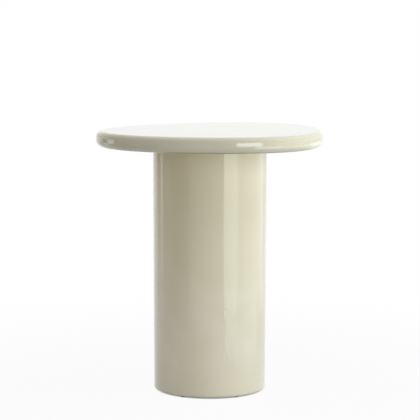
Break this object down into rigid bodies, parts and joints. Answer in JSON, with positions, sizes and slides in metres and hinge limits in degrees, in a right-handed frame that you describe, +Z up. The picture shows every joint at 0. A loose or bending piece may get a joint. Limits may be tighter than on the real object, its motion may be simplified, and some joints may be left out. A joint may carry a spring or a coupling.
{
  "type": "side table",
  "caption": "Glazed ceramic side table: a thick pebble-shaped top with a rounded edge on a wide round hollow column, for drinks, books or a lamp beside a seat.",
  "frame": {"origin": "on the floor, in the middle under the table: the middle of the foot and of the top's width and depth", "axes": "+Z up, +X to the right and -Y towards someone who stands before the table, so that the blunt end of the top is at +X and the narrow end at -X"},
  "size_m": [0.432, 0.39, 0.5],
  "materials": {
    "cream_glaze": "gloss",
    "adhesive": "matte",
    "seal": "satin",
    "pad": "matte"
  },
  "bodies": {
    "root": {"table_top": "cream_glaze", "column": "cream_glaze", "adhesive_bed": "adhesive", "joint_seal": "seal", "foot_pad_1": "pad", "foot_pad_2": "pad", "foot_pad_3": "pad", "foot_pad_4": "pad", "foot_pad_5": "pad", "foot_pad_6": "pad"}
  },
  "joints": []
}
